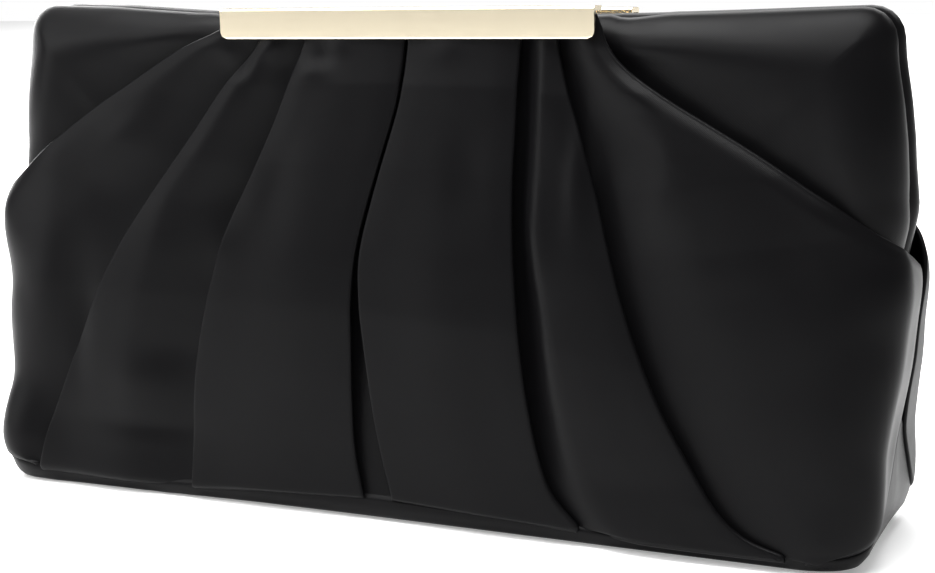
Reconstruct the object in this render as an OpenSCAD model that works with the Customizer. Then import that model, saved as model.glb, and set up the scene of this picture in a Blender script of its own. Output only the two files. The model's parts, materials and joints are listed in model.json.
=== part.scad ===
// Evening clutch purse: a soft pleated pouch under a hinged, padded mouth frame.
// Two U-shaped frame halves share one pair of rivets, one rivet at each side of the bag.
// Each half swings outward from the closed mouth, and carries a metal bar on its outer face.
// Millimetres. The origin is the centre of the underside, +X is right, -Y is the front, +Z is up.

/* [Outline] */
// Width across the sides at the top edge
top_w = 268; // [262:1:276]
// Width across the sides at the hinge and below
base_w = 278; // [276:1:290]
// Height of the padded top edge
body_h = 143; // [138:1:150]
// Thickness of one closed half at the top edge
top_t = 12; // [11.5:0.25:13]
// Half depth of the padded wall at the floor
base_t = 27.5; // [26:0.5:30]
// Radius of the top corners
corner_r = 14; // [13:1:20]

/* [Hinge] */
// Height of the hinge rivets
hinge_z = 72; // [68:1:76]
// How far below the hinge the swinging walls start to flex
flex_below = 13; // [12.5:0.5:15]
// How far above the hinge the swinging walls become stiff
flex_above = 1.5; // [1.5:0.5:3]
// Radius of the rivet shank
rivet_r = 1.5; // [1.2:0.1:2]
// Radius of the ear around the rivet
ear_r = 4.5; // [4:0.25:5]

/* [Frame] */
// Thickness of the steel strip
frame_t = 1.5; // [1:0.1:1.5]
// Width of the steel strip, front to back
frame_d = 4.6; // [4:0.1:4.8]
// Width of the padded rim that hides the strip
rim_w = 6; // [6:0.25:7]

/* [Bar] */
// Length of each metal bar
bar_l = 116; // [100:1:126]
// Height of the bar's face
bar_h = 8.6; // [8:0.2:10]
// Depth of the bar, front to back
bar_d = 5.8; // [5.6:0.1:7]
// Sheet thickness of the bar
bar_t = 1; // [0.8:0.1:1.2]
// How far the bar stands above the padded edge
bar_rise = 1.8; // [1.6:0.1:2.4]

/* [Pleats] */
// Thickness of the pleats over the middle of a face
pleat_t = 4.4; // [3:0.1:4.4]
// How much each pleat steps back from the one that covers its edge
pleat_step = 0.8; // [0.4:0.1:1]
// Thickness of the satin where it wraps round the sides
wrap_t = 2.6; // [1.5:0.1:3]

/* [Walls] */
// Thickness of the satin on the padded walls
satin_t = 0.6; // [0.5:0.1:0.8]
// Thickness of the foam
foam_t = 3; // [2.5:0.1:3]
// Thickness of the stiffener board
board_t = 1; // [0.8:0.1:1]
// Thickness of the lining
lining_t = 0.4; // [0.3:0.05:0.4]
// Thickness of each gusset layer
gusset_t = 1; // [0.8:0.1:1.2]
// Height of the base tray, where the walls begin
base_h = 5; // [4:0.5:6]

/* [Hidden] */
$fn = 48;
far = 200;                         // beyond the bag on every side
wall_t = satin_t + foam_t + board_t + lining_t;
mouth_gap = 0.3;                   // left between the two halves when the mouth is shut
run_clear = 0.05;                  // radial running clearance round the rivets
side_clear = 0.2;                  // clearance along the rivets and between the ears
flex_z0 = hinge_z - flex_below;
flex_z1 = hinge_z + flex_above;
rim_z0 = hinge_z + 6;              // the padded rims start above the ears
rim_x = top_w / 2 - rim_w;         // inner edge of the rims
frame_x = top_w / 2 - 2;           // outside of the steel strip
frame_top = body_h - 2.2;
frame_y = -1;                      // the strip's face towards the mouth
lap_z = hinge_z + 8;               // where the back ears lap onto their strip
lap_h = 8;
head_r = 3;                        // rivet heads
head_t = 1;
tab_r = 5;                         // webbing tab that ties a rivet to the gusset
tab_t = 2;
tab_z0 = hinge_z - 26;
tab_x = frame_x + 0.4;
bar_y = top_t + bar_d;             // outer face of a bar
bar_z0 = body_h + bar_rise - bar_h;
bar_top = body_h + bar_rise;
pin_z = body_h - 3;                // bar rivets: height, spacing, shank and head
pin_x = 42;
pin_r = 1;
pin_head_r = 2.2;
pin_head_t = 0.7;
magnet_l = 30;
magnet_h = 1.8;
magnet_x = 36;
base_inset = 5;                    // the base tray slopes in by this much at the floor
base_skin = 1;
pocket_w = 116;                    // slip pocket on the back lining
pocket_t = 1.4;
pocket_skin = 0.5;
bellows_skin = 5;                  // wall of the folded gusset, measured along X
bellows_low = 8;                   // depth of its fold at the bottom and at the top
bellows_high = 28;
bellows_top = body_h - rim_w - corner_r + 2.5;   // below the rims' rounded inner corners
bellows_open = 1 / 6;              // half width of its mouth over its depth
// Half widths of the pleat folds: under the bar, at the hinge line and at the lower edge.
fold_top = [0, 34, 45, bar_l / 2 - 1];
fold_mid = [0, 42, 72, base_w / 2];
fold_low = [0, 58, 112, base_w / 2];
pleat_low_z = base_h + 1;
pleat_edge_z = hinge_z + 9;        // where the free edge of the pleats reaches the side

HALF_NODES = ["bar", "bar_rivets", "pleats_upper", "panel_cover", "panel_foam", "panel_board",
              "panel_lining", "magnets", "wall_cover", "wall_foam", "wall_lining",
              "pleats_lower", "flex_band", "frame", "rim_cover"];
SIDE_NODES = ["gusset_cover", "gusset_lining", "side_wrap", "side_flex", "bellows",
              "hinge_rivet", "hinge_tab"];

satin = [0.05, 0.05, 0.055];
inner = [0.09, 0.09, 0.10];
card = [0.62, 0.52, 0.40];
gold = [0.86, 0.74, 0.50];
steel = [0.62, 0.62, 0.64];

// Half width of the bag at height z: upright below the hinge, tapering above it.
function side_x(z) =
    (base_w + (top_w - base_w) * max(0, z - hinge_z) / (body_h - hinge_z)) / 2;
// Half depth of the padded wall at height z.
function wall_y(z) = base_t + (top_t - base_t) * z / body_h;

function arc(cx, cz, r, a0, a1, n = 8) =
    [for (i = [0:n]) let (a = a0 + (a1 - a0) * i / n) [cx + r * cos(a), cz + r * sin(a)]];

// Outline of a face from z0 to the top edge, with its top corners rounded.
function face_outline(z0) = concat(
    [[-side_x(z0), z0], [side_x(z0), z0]],
    arc(top_w / 2 - corner_r, body_h - corner_r, corner_r, 0, 90),
    arc(corner_r - top_w / 2, body_h - corner_r, corner_r, 90, 180));

// Arch of half width x that stands on z0 and rises to z1.
function arch(x, z0, z1, r) = concat(
    [[-x, z0], [x, z0]], arc(x - r, z1 - r, r, 0, 90), arc(r - x, z1 - r, r, 90, 180));

// Outline of a wall from z0 to z1.
function band(z0, z1) =
    [[-side_x(z0), z0], [side_x(z0), z0], [side_x(z1), z1], [-side_x(z1), z1]];

// Extrudes an XZ outline from y0 to y1, and a YZ outline from x0 to x1.
module slab_y(y0, y1) translate([0, y1, 0]) rotate([90, 0, 0]) linear_extrude(y1 - y0) children();
module slab_x(x0, x1) translate([x0, 0, 0]) rotate([90, 0, 90]) linear_extrude(x1 - x0) children();

// Front wall layer from z0 to z1, o to o + t below the padded wall's outer face.
module wall_section(o, t, z0, z1)
    slab_x(-far, far)
        polygon([[o - wall_y(z0), z0], [o - wall_y(z1), z1],
                 [o + t - wall_y(z1), z1], [o + t - wall_y(z0), z0]]);

module upper_layer(o, t) intersection() {
    wall_section(o, t, flex_z1, body_h);
    slab_y(-far, 0) polygon(face_outline(flex_z1));
}

module lower_layer(o, t) intersection() {
    wall_section(o, t, base_h, flex_z0);
    slab_y(-far, 0) polygon(band(base_h, flex_z0));
}

// Right side wall layer, o to o + t below the side, and clear of the front and back by gap.
module side_layer(o, t, z0, z1, gap) intersection() {
    slab_y(-far, far)
        polygon([[side_x(z0) - o, z0], [side_x(z1) - o, z1],
                 [side_x(z1) - o - t, z1], [side_x(z0) - o - t, z0]]);
    slab_x(0, far)
        polygon([[gap - wall_y(z0), z0], [gap - wall_y(z1), z1],
                 [wall_y(z1) - gap, z1], [wall_y(z0) - gap, z0]]);
}

module both_sides() { children(); mirror([1, 0, 0]) children(); }

// Bar: a folded angle with closed ends, and a top flange that rises a little inwards.
module bar() color(gold) difference() {
    intersection() {
        slab_x(-bar_l / 2, bar_l / 2)
            polygon([[-bar_y, bar_z0], [-bar_y, bar_top - 0.5], [-bar_y + 0.5, bar_top - 0.2],
                     [-top_t, bar_top], [-top_t, body_h + 0.3], [-top_t - 0.8, body_h + 0.3],
                     [-top_t - 0.8, bar_z0]]);
        slab_y(-bar_y, 0)
            polygon(concat(arc(2 - bar_l / 2, bar_z0 + 2, 2, 180, 270, 4),
                           arc(bar_l / 2 - 2, bar_z0 + 2, 2, 270, 360, 4),
                           [[bar_l / 2, bar_top], [-bar_l / 2, bar_top]]));
    }
    slab_x(bar_t - bar_l / 2, bar_l / 2 - bar_t)
        polygon([[-bar_y + bar_t, bar_z0 - 1], [-bar_y + bar_t, bar_top - bar_t - 0.4],
                 [1 - top_t, bar_top - bar_t], [1 - top_t, bar_z0 - 1]]);
}

// Rivets that hold the bar: a shank through pleats, satin, foam and board, and a peened head.
module bar_rivets() color(gold) both_sides() {
    y0 = -bar_y + bar_t;
    y1 = satin_t + foam_t + board_t + 0.1 - wall_y(pin_z);
    translate([pin_x, y0, pin_z]) rotate([-90, 0, 0]) cylinder(r = pin_r, h = y1 - y0);
    translate([pin_x, y1, pin_z]) rotate([-90, 0, 0]) cylinder(r = pin_head_r, h = pin_head_t);
}

// Outline of the gore between folds k and k + 1 on the right.
function gore_outline(k) = k < 2
    ? [[fold_top[k], body_h + 1], [fold_top[k + 1], body_h + 1], [fold_mid[k + 1], hinge_z],
       [fold_low[k + 1], pleat_low_z], [fold_low[k], pleat_low_z], [fold_mid[k], hinge_z]]
    : [[fold_top[2], body_h + 1], [fold_top[3], body_h + 1], [fold_top[3], bar_z0],
       [side_x(pleat_edge_z), pleat_edge_z], [side_x(hinge_z), hinge_z],
       [side_x(pleat_low_z), pleat_low_z], [fold_low[2], pleat_low_z], [fold_mid[2], hinge_z]];

// Six gores in front of the padded wall, each pair thinner than the pair nearer the middle.
module pleats(z0, z1) both_sides() for (k = [0:2]) {
    t = pleat_t - k * pleat_step;
    intersection() {
        wall_section(-t, t, z0, z1);
        slab_y(-far, 0) polygon(gore_outline(k));
    }
}

module pleats_upper() color(satin) difference() {
    pleats(flex_z1, body_h + 1);
    bar();
    bar_rivets();
}

module pleats_lower() color(satin) pleats(pleat_low_z, flex_z0);

module panel_cover() color(satin) difference() { upper_layer(0, satin_t); bar_rivets(); }
module panel_foam() color(inner) difference() { upper_layer(satin_t, foam_t); bar_rivets(); }
module panel_board() color(card) difference() {
    upper_layer(satin_t + foam_t, board_t);
    bar_rivets();
}
module panel_lining() color(inner) difference() {
    upper_layer(wall_t - lining_t, lining_t);
    bar_rivets();
}

// Steel strip bent into a U, with an ear round the hinge at the foot of each arm.
// A plain ear carries straight on from the strip. A lapped one lies inside it.
module frame(lapped) color(steel) difference() {
    union() {
        slab_y(frame_y - frame_d, frame_y) difference() {
            polygon(arch(frame_x, lap_z, frame_top, corner_r - 2));
            polygon(arch(frame_x - frame_t, lap_z - 1, frame_top - frame_t, corner_r - 2 - frame_t));
        }
        both_sides() frame_ear(lapped);
    }
    both_sides() hinge_bore();
}

module frame_ear(lapped) {
    x1 = lapped ? frame_x - frame_t - side_clear : frame_x;
    slab_x(x1 - frame_t, x1) {
        translate([0, hinge_z]) circle(r = ear_r);
        translate([frame_y - frame_d, hinge_z]) square([frame_d, lap_z + 1 - hinge_z]);
    }
    if (lapped)
        slab_x(x1 - frame_t, frame_x - frame_t + 0.1)
            translate([frame_y - frame_d, lap_z]) square([frame_d, lap_h]);
}

module hinge_bore() translate([frame_x - 10, 0, hinge_z]) rotate([0, 90, 0])
    cylinder(r = rivet_r + run_clear, h = 20);

module magnets() color(steel) both_sides()
    translate([magnet_x - magnet_l / 2, frame_y - frame_d, frame_top - frame_t - magnet_h])
        cube([magnet_l, frame_d, magnet_h]);

// Padded satin rim round the strip, from the lining to the plane where the two halves meet.
module rim_cover(lapped) color(satin) difference() {
    intersection() {
        slab_x(-far, far)
            polygon([[wall_t - wall_y(rim_z0), rim_z0], [wall_t - wall_y(body_h), body_h],
                     [-mouth_gap / 2, body_h], [-mouth_gap / 2, rim_z0]]);
        slab_y(-far, 0) difference() {
            polygon(face_outline(rim_z0));
            polygon(arch(rim_x, rim_z0 - 1, body_h - rim_w, corner_r - 3));
        }
    }
    frame(lapped);
    magnets();
    bar_rivets();
}

module wall_cover() color(satin) lower_layer(0, satin_t);
module wall_foam() color(inner) lower_layer(satin_t, foam_t + board_t);
module wall_lining() color(inner) lower_layer(wall_t - lining_t, lining_t);

// Soft stretch of wall and pleats that bends when a half swings.
module flex_band() color(satin) intersection() {
    wall_section(2 * pleat_step - pleat_t, pleat_t - 2 * pleat_step + wall_t, flex_z0, flex_z1);
    slab_y(-far, 0) polygon(band(flex_z0, flex_z1));
}

module gusset_cover() color(satin) side_layer(0, gusset_t, base_h, flex_z0, wall_t);
module gusset_lining() color(inner) side_layer(gusset_t, gusset_t, base_h, flex_z0, wall_t);
module side_wrap() color(satin) side_layer(-wrap_t, wrap_t, pleat_low_z, flex_z0, 0);
module side_flex() color(satin) side_layer(0, gusset_t, flex_z0, rim_z0 - 0.5, wall_t + 0.3);

// Folded gusset above the hinge: a V that points into the bag and narrows to the hinge.
function fold_section(x, z, depth) = [
    [x, -depth * bellows_open, z], [x - depth, 0, z], [x, depth * bellows_open, z],
    [x, (depth - bellows_skin) * bellows_open, z], [x - depth + bellows_skin, 0, z],
    [x, (bellows_skin - depth) * bellows_open, z]];

module bellows() color(satin)
    polyhedron(
        points = concat(fold_section(rim_x - 0.4, rim_z0, bellows_low),
                        fold_section(rim_x - 0.4, bellows_top, bellows_high)),
        faces = concat([[0, 1, 4, 5], [1, 2, 3, 4], [11, 10, 7, 6], [10, 9, 8, 7]],
                       [for (i = [0:5]) let (j = (i + 1) % 6) [i + 6, j + 6, j, i]]));

// Hinge rivet: its shank runs in both ears and in the tab, and a head closes each end.
module hinge_rivet() color(steel) {
    x0 = frame_x - 2 * frame_t - 2 * side_clear;
    x1 = tab_x + tab_t + side_clear;
    translate([x0, 0, hinge_z]) rotate([0, 90, 0]) cylinder(r = rivet_r, h = x1 - x0);
    translate([x0 - head_t, 0, hinge_z]) rotate([0, 90, 0]) cylinder(r = head_r, h = head_t);
    translate([x1, 0, hinge_z]) rotate([0, 90, 0]) cylinder(r = head_r, h = head_t);
}

// Webbing tab: hangs the rivet from the gusset lining.
module hinge_tab() color(satin) difference() {
    union() {
        slab_x(tab_x, tab_x + tab_t) {
            translate([0, hinge_z]) circle(r = tab_r);
            translate([-tab_r, tab_z0]) square([2 * tab_r, hinge_z - tab_z0]);
        }
        slab_x(tab_x, base_w / 2 - 2 * gusset_t)
            translate([-tab_r, tab_z0]) square([2 * tab_r, flex_z0 - 2 - tab_z0]);
    }
    hinge_bore();
}

// Frustum of the base, drawn in by inset on every side.
module base_block(z0, z1, inset) {
    low = base_inset * (z0 / base_h - 1) - inset;
    high = base_inset * (z1 / base_h - 1) - inset;
    x = base_w / 2;
    y = wall_y(base_h);
    intersection() {
        slab_y(-far, far)
            polygon([[-x - low, z0], [x + low, z0], [x + high, z1], [-x - high, z1]]);
        slab_x(-far, far)
            polygon([[-y - low, z0], [y + low, z0], [y + high, z1], [-y - high, z1]]);
    }
}

module base_cover() color(satin) difference() {
    base_block(0, base_h, 0);
    translate([0, 0, base_skin]) base_block(0, base_h, base_skin);
}
module base_board() color(card) translate([0, 0, base_skin]) base_block(0, 2, base_skin + 0.6);
module base_lining() color(inner)
    translate([0, 0, base_skin + 2]) base_block(0, 2 * lining_t, base_skin + 0.6);

// Slip pocket on the back lining, open at the top.
module pocket_block(o, t, z0, z1, w) intersection() {
    wall_section(wall_t + o, t, z0, z1);
    slab_y(-far, 0) translate([-w / 2, z0]) square([w, z1 - z0]);
}
module slip_pocket() color(inner) mirror([0, 1, 0]) difference() {
    pocket_block(0, pocket_t, base_h + 5, flex_z0 - 4, pocket_w);
    pocket_block(-1, pocket_t + 1 - pocket_skin, base_h + 7, flex_z0, pocket_w - 4);
}

module half_piece(name) {
    if (name == "bar") bar();
    if (name == "bar_rivets") bar_rivets();
    if (name == "pleats_upper") pleats_upper();
    if (name == "panel_cover") panel_cover();
    if (name == "panel_foam") panel_foam();
    if (name == "panel_board") panel_board();
    if (name == "panel_lining") panel_lining();
    if (name == "magnets") magnets();
    if (name == "wall_cover") wall_cover();
    if (name == "wall_foam") wall_foam();
    if (name == "wall_lining") wall_lining();
    if (name == "pleats_lower") pleats_lower();
    if (name == "flex_band") flex_band();
}

module side_piece(name) {
    if (name == "gusset_cover") gusset_cover();
    if (name == "gusset_lining") gusset_lining();
    if (name == "side_wrap") side_wrap();
    if (name == "side_flex") side_flex();
    if (name == "bellows") bellows();
    if (name == "hinge_rivet") hinge_rivet();
    if (name == "hinge_tab") hinge_tab();
}

for (n = HALF_NODES) {
    half_piece(n);
    mirror([0, 1, 0]) half_piece(n);
}
for (n = SIDE_NODES) {
    side_piece(n);
    mirror([1, 0, 0]) side_piece(n);
}
frame(false);  // front_frame
mirror([0, 1, 0]) frame(true);  // back_frame
rim_cover(false);  // front_rim_cover
mirror([0, 1, 0]) rim_cover(true);  // back_rim_cover
base_cover();
base_board();
base_lining();
slip_pocket();
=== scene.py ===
"""Satin clutch purse: the soft pieces, the bars and every material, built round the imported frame.

Shapes are worked out in millimetres and become metres when a mesh is made.
+X is the purse's right, -Y its front and +Z up. The back is the front turned half round about Z.
"""
import json
import math

import bmesh
import bpy
import numpy as np
from mathutils import Euler, Matrix, Vector


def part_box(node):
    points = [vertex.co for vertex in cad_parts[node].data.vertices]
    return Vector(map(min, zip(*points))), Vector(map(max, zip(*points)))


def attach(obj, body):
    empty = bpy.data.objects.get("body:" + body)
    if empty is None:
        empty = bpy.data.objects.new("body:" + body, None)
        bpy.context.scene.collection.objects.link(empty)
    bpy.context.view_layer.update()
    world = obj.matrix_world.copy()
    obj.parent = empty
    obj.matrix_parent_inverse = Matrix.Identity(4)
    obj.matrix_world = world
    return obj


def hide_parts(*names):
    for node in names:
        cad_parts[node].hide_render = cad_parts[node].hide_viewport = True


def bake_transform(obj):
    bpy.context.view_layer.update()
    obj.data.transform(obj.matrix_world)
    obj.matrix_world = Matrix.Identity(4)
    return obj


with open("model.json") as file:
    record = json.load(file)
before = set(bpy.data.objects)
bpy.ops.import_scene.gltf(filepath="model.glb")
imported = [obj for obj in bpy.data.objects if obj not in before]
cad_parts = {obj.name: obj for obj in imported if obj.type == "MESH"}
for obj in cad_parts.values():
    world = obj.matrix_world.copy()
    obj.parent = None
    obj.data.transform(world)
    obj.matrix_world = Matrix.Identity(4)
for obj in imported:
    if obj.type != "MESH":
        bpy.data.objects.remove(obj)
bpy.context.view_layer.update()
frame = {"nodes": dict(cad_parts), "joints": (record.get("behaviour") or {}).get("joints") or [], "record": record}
scene = bpy.context.scene
MM = 0.001
WELD = 1e-6


def box_mm(node):
    """Lowest and highest corner of a CAD node, in millimetres."""
    low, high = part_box(node)
    return np.array(low) / MM, np.array(high) / MM


# ---------------------------------------------------------------- sizes taken from the frame
TOP_Z = box_mm("front_panel_cover")[1][2]
BAR_LOW, BAR_HIGH = box_mm("front_bar")
HINGE_Z = frame["joints"][0]["pos_m"][2] / MM
BACK_BAR_DROP = 1.8

# ---------------------------------------------------------------- camera at the photograph's angle
CAMERA_ROUND = math.radians(26.2)
CAMERA_AWAY, CAMERA_UP = 0.512, 0.1625
CAMERA_HEADING, CAMERA_PITCH, CAMERA_ROLL = (math.radians(x) for x in (25.1, 11.05, -1.5))
CAMERA_LENS = 68.2


def make_camera():
    """The camera, at the photograph's angle, looking a little down at the purse."""
    data = bpy.data.cameras.new("camera")
    camera = bpy.data.objects.new("camera", data)
    scene.collection.objects.link(camera)
    data.lens, data.sensor_width = CAMERA_LENS, 36
    data.clip_start, data.clip_end = 0.01, 20
    camera.location = (CAMERA_AWAY * math.sin(CAMERA_ROUND), -CAMERA_AWAY * math.cos(CAMERA_ROUND), CAMERA_UP)
    look = Euler((math.pi / 2 - CAMERA_PITCH, 0, CAMERA_HEADING)).to_matrix()
    camera.rotation_euler = (look @ Matrix.Rotation(CAMERA_ROLL, 3, "Z")).to_euler()
    scene.camera = camera


# ---------------------------------------------------------------- materials
SHEEN_ROUGH = 0.35
SHEEN_TINT = (0.82, 0.85, 0.95, 1)
CLOTH_SPREAD = 0.035      # how far a cloth's roughness strays either way
FIBRE_SPREAD = 0.05       # and that of foam and board
NOISE_LOW, NOISE_HIGH = 0.3, 0.7     # the part of a noise's range that is used


class Recipe:
    """A material being put together: nodes that feed one principled shader."""

    def __init__(self, name):
        self.material = bpy.data.materials.new(name)
        self.material.use_nodes = True
        self.nodes, self.links = self.material.node_tree.nodes, self.material.node_tree.links
        self.nodes.clear()
        out = self.nodes.new("ShaderNodeOutputMaterial")
        self.shader = self.nodes.new("ShaderNodeBsdfPrincipled")
        self.links.new(self.shader.outputs[0], out.inputs[0])
        self.coords = self.nodes.new("ShaderNodeTexCoord").outputs["Object"]

    def set(self, **values):
        """Puts uniform values straight on the shader's sockets; _ stands for a space."""
        for name, value in values.items():
            self.shader.inputs[name.replace("_", " ")].default_value = value

    def stretched(self, scale):
        """Object coordinates scaled by their own amount along each axis."""
        mapping = self.nodes.new("ShaderNodeMapping")
        mapping.inputs["Scale"].default_value = scale
        self.links.new(self.coords, mapping.inputs["Vector"])
        return mapping.outputs[0]

    def noise(self, scale, detail=2, vector=None):
        """Cloudy noise, in object coordinates unless others are given."""
        node = self.nodes.new("ShaderNodeTexNoise")
        node.inputs["Scale"].default_value = scale
        node.inputs["Detail"].default_value = detail
        self.links.new(vector or self.coords, node.inputs["Vector"])
        return node.outputs["Fac"]

    def waves(self, scale, direction, distortion=0.0, detail=0.0):
        """Straight bands across a direction."""
        node = self.nodes.new("ShaderNodeTexWave")
        node.wave_type, node.bands_direction = "BANDS", direction
        node.inputs["Scale"].default_value = scale
        node.inputs["Distortion"].default_value = distortion
        node.inputs["Detail"].default_value = detail
        self.links.new(self.coords, node.inputs["Vector"])
        return node.outputs["Fac"]

    def math(self, kind, a, b):
        """A sum or product of two values, each a number or a socket."""
        node = self.nodes.new("ShaderNodeMath")
        node.operation = kind
        for socket, value in zip(node.inputs, (a, b)):
            if isinstance(value, (int, float)):
                socket.default_value = value
            else:
                self.links.new(value, socket)
        return node.outputs[0]

    def mix(self, factor, dark, light, target="Base Color"):
        """Feeds a colour between dark and light to a socket."""
        node = self.nodes.new("ShaderNodeMix")
        node.data_type = "RGBA"
        node.inputs["A"].default_value = (*dark, 1)
        node.inputs["B"].default_value = (*light, 1)
        self.links.new(factor, node.inputs["Factor"])
        self.links.new(node.outputs["Result"], self.shader.inputs[target])

    def span(self, value, low, high, target="Roughness"):
        """Feeds a value, stretched from low to high, to a socket."""
        node = self.nodes.new("ShaderNodeMapRange")
        node.inputs["From Min"].default_value, node.inputs["From Max"].default_value = NOISE_LOW, NOISE_HIGH
        node.inputs["To Min"].default_value, node.inputs["To Max"].default_value = low, high
        self.links.new(value, node.inputs["Value"])
        self.links.new(node.outputs[0], self.shader.inputs[target])

    def bump(self, height, strength, distance):
        """Lets a height stand out of the surface, by distance in metres."""
        node = self.nodes.new("ShaderNodeBump")
        node.inputs["Strength"].default_value = strength
        node.inputs["Distance"].default_value = distance
        self.links.new(height, node.inputs["Height"])
        self.links.new(node.outputs[0], self.shader.inputs["Normal"])


def cloth(name, dark, light, weave, bump, rough, sheen, level):
    """A woven cloth: cloudy colour, fine diagonal threads with slubs, and a soft sheen."""
    made = Recipe(name)
    made.mix(made.noise(24, 3), dark, light)
    threads = made.math("MULTIPLY", made.waves(weave, "DIAGONAL", 1.2, 1), 0.6)
    weft = made.math("MULTIPLY", made.waves(weave * 1.3, "Z", 0.8, 1), 0.3)
    height = made.math("ADD", made.math("ADD", threads, weft), made.noise(weave * 0.35, 4))
    made.bump(height, bump, 0.0002)
    made.span(made.noise(60, 3), rough - CLOTH_SPREAD, rough + CLOTH_SPREAD)
    made.set(Specular_IOR_Level=level, Sheen_Weight=sheen)
    made.set(Sheen_Roughness=SHEEN_ROUGH, Sheen_Tint=SHEEN_TINT)
    return made.material


def metal(name, dark, light, rough, spread, brushed, strength):
    """A metal brushed along X, with faint spots of wear."""
    made = Recipe(name)
    fine = made.noise(1, 3, made.stretched((brushed / 20, brushed, brushed)))
    streaks = made.math("MULTIPLY", fine, 0.5)
    spots = made.math("MULTIPLY", made.noise(35, 4), 0.5)
    made.mix(made.math("ADD", streaks, spots), dark, light)
    made.span(fine, rough - spread, rough + spread)
    made.bump(fine, strength, 0.00002)
    made.set(Metallic=1.0)
    return made.material


def fibre(name, dark, light, grain, strength, rough):
    """Foam or board: a speckled matt stuff."""
    made = Recipe(name)
    made.mix(made.noise(grain, 5), dark, light)
    made.bump(made.noise(grain * 1.4, 4), strength, 0.0004)
    made.span(made.noise(grain / 3, 2), rough - FIBRE_SPREAD, rough + FIBRE_SPREAD)
    return made.material


SATIN = cloth("black_satin", (0.0024, 0.0023, 0.0026), (0.0038, 0.0037, 0.0041), 900, 0.10, 0.385, 0.0, 0.067)
LINING = cloth("black_lining", (0.008, 0.008, 0.009), (0.015, 0.015, 0.017), 620, 0.35, 0.60, 0.06, 0.18)
THREAD = cloth("black_thread", (0.012, 0.012, 0.013), (0.024, 0.024, 0.026), 1500, 0.4, 0.5, 0.12, 0.3)
GOLD = metal("pale_gold", (0.97, 0.86, 0.645), (0.99, 0.88, 0.665), 0.20, 0.012, 4000, 0.004)
STEEL = metal("plain_steel", (0.50, 0.50, 0.52), (0.66, 0.66, 0.68), 0.34, 0.06, 700, 0.3)
NICKEL = metal("nickel_plate", (0.56, 0.55, 0.54), (0.68, 0.67, 0.66), 0.22, 0.05, 500, 0.15)
FOAM = fibre("soft_foam", (0.42, 0.42, 0.39), (0.62, 0.62, 0.58), 420, 0.5, 0.9)
BOARD = fibre("stiff_board", (0.33, 0.26, 0.19), (0.50, 0.42, 0.32), 260, 0.4, 0.85)


# ---------------------------------------------------------------- mesh helpers
def new_piece(name, points, faces, material, weld=False):
    """A smooth mesh object from points in millimetres. weld joins points that lie on one another."""
    mesh = bpy.data.meshes.new(name)
    mesh.from_pydata((np.asarray(points, float).reshape(-1, 3) * MM).tolist(), [], faces)
    if weld:
        shape = bmesh.new()
        shape.from_mesh(mesh)
        bmesh.ops.remove_doubles(shape, verts=shape.verts, dist=WELD)
        bmesh.ops.dissolve_degenerate(shape, edges=shape.edges, dist=WELD)
        shape.to_mesh(mesh)
        shape.free()
    mesh.polygons.foreach_set("use_smooth", np.ones(len(mesh.polygons), bool))
    mesh.materials.append(material)
    mesh.update()
    piece = bpy.data.objects.new(name, mesh)
    scene.collection.objects.link(piece)
    return piece


def grid_faces(rows, columns, closed=False, start=0):
    """Quads of a grid of points, row after row; closed joins the last column to the first."""
    faces = []
    for i in range(rows - 1):
        for j in range(columns if closed else columns - 1):
            k = (j + 1) % columns
            a, b = start + i * columns, start + (i + 1) * columns
            faces.append((a + j, a + k, b + k, b + j))
    return faces


def flipped(faces):
    """The same faces, seen from their other side."""
    return [face[::-1] for face in faces]


def smooth(t):
    """An even rise from 0 to 1 while t goes from 0 to 1, level at both ends."""
    t = np.clip(t, 0, 1)
    return t * t * (3 - 2 * t)


def table(z, keys):
    """A value that follows (height, value) keys."""
    return np.interp(z, [k[0] for k in keys], [k[1] for k in keys])


def turned(points):
    """Half a turn about Z, which makes a back piece of a front one."""
    return points * np.array([-1, -1, 1])


def spline(points, samples):
    """Points evenly spaced by length along a smooth curve through given points."""
    p = np.array(points, float)
    p = np.vstack([2 * p[0] - p[1], p, 2 * p[-1] - p[-2]])
    t = np.linspace(0, 1, 24, endpoint=False)[:, None]
    runs = []
    for a, b, c, d in zip(p[:-3], p[1:-2], p[2:-1], p[3:]):
        runs.append(b + 0.5 * t * (c - a + t * (2 * a - 5 * b + 4 * c - d + t * (3 * (b - c) + d - a))))
    dense = np.vstack(runs + [p[-2:-1]])
    along = np.concatenate([[0], np.cumsum(np.linalg.norm(np.diff(dense, axis=0), axis=1))])
    at = np.asarray(samples) * along[-1]
    return np.stack([np.interp(at, along, dense[:, k]) for k in range(p.shape[1])], axis=-1)


# ---------------------------------------------------------------- the draped body
# Half width, depth, and the two half axes of the rounded corner, each against height.
BODY_HALF = [(0, 127), (2, 131), (5, 133), (12, 134.4), (20, 134.4), (30, 134.0), (40, 135.2), (50, 136.8),
             (60, 137.6), (70, 138.8), (75, 138.8), (82, 137.4), (92, 136.8), (110, 136.8), (143, 135)]
BODY_DEPTH = [(0, 27.5), (1.5, 29.6), (4, 29.9), (9, 29.0), (20, 27.5), (40, 26.0), (60, 24.0), (74, 22.1),
              (90, 19.1), (110, 15.8), (128, 13.4), (136, 12.6), (143, 12.3)]
CORNER_WIDE = [(0, 13), (20, 14), (40, 16), (60, 20), (143, 20)]
CORNER_DEEP = [(0, 7), (20, 7), (40, 9), (60, 12), (80, 11), (143, 8)]


SMOOTH_REACH = 10     # samples, a quarter of a millimetre apart, on each side of one that is smoothed


def soft_table(keys):
    """The keys as a smoothed lookup, so that no height shows a kink."""
    z = np.linspace(-20, 160, 721)
    v = table(z, keys)
    width = 2 * SMOOTH_REACH + 1
    for _ in range(2):
        v = np.convolve(np.pad(v, SMOOTH_REACH, mode="edge"), np.ones(width) / width, mode="valid")
    return z, v


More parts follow.
